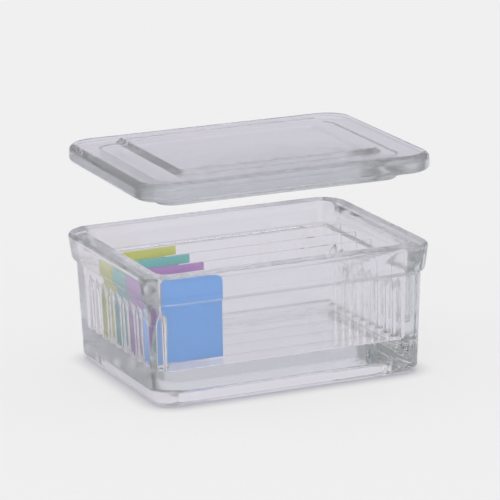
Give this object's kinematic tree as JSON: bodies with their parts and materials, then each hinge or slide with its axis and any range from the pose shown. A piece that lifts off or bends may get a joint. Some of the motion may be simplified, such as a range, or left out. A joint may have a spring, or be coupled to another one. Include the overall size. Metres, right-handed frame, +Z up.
{
  "type": "slide staining jar",
  "caption": "Rectangular pressed-glass dish with ribbed end walls and a plug lid, holding microscope slides on edge in its slots for staining.",
  "frame": {"origin": "middle of the dish's foot on the surface it stands on; the lid is held a little off centre above it", "axes": "+X along the slides, +Y across the slots from the front wall to the back wall, +Z up out of the dish's mouth"},
  "size_m": [0.0952, 0.0742, 0.0703],
  "materials": {
    "dish_glass": "clear pressed soda glass, fire polished",
    "lid_glass": "clear pressed soda glass, fire polished",
    "slide_blue_label": "clear sheet glass with a blue enamel label end",
    "slide_purple_label": "clear sheet glass with a purple enamel label end",
    "slide_teal_label": "clear sheet glass with a teal enamel label end",
    "slide_yellow_label": "clear sheet glass with a yellow enamel label end"
  },
  "bodies": {
    "root": {"staining_dish": "dish_glass", "dish_lid": "lid_glass", "slide_blue": "slide_blue_label", "slide_purple": "slide_purple_label", "slide_teal": "slide_teal_label", "slide_yellow": "slide_yellow_label"}
  },
  "joints": []
}
